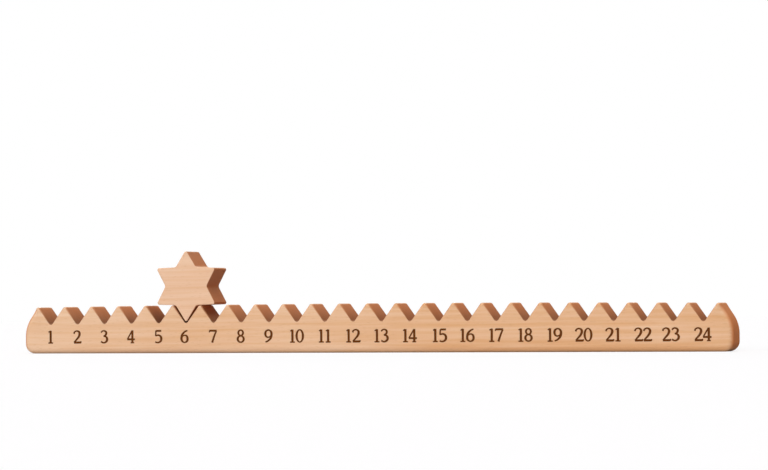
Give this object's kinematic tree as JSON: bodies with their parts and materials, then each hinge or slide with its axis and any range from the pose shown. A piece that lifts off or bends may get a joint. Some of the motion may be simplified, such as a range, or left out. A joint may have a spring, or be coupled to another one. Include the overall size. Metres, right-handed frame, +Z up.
{
  "type": "advent calendar",
  "caption": "Long wooden rail with a row of numbered V notches along its top and a loose wooden star that stands in the notch of the day.",
  "frame": {"origin": "centre of the rail's foot face, on the surface it stands on", "axes": "+X along the rail from day 1 to day 24, +Y from the numbered front face to the back, +Z up"},
  "size_m": [0.45, 0.022, 0.0627],
  "materials": {
    "rail_wood": "sanded beech, clear oil",
    "star_wood": "sanded beech, clear oil"
  },
  "bodies": {
    "rail": {"day_rail": "rail_wood"},
    "star": {"star_marker": "star_wood"}
  },
  "joints": [
    {"name": "star_lift", "type": "slide", "parent": "rail", "child": "star", "axis": [0, 0, 1], "range_m": [0, 0.025]}
  ]
}
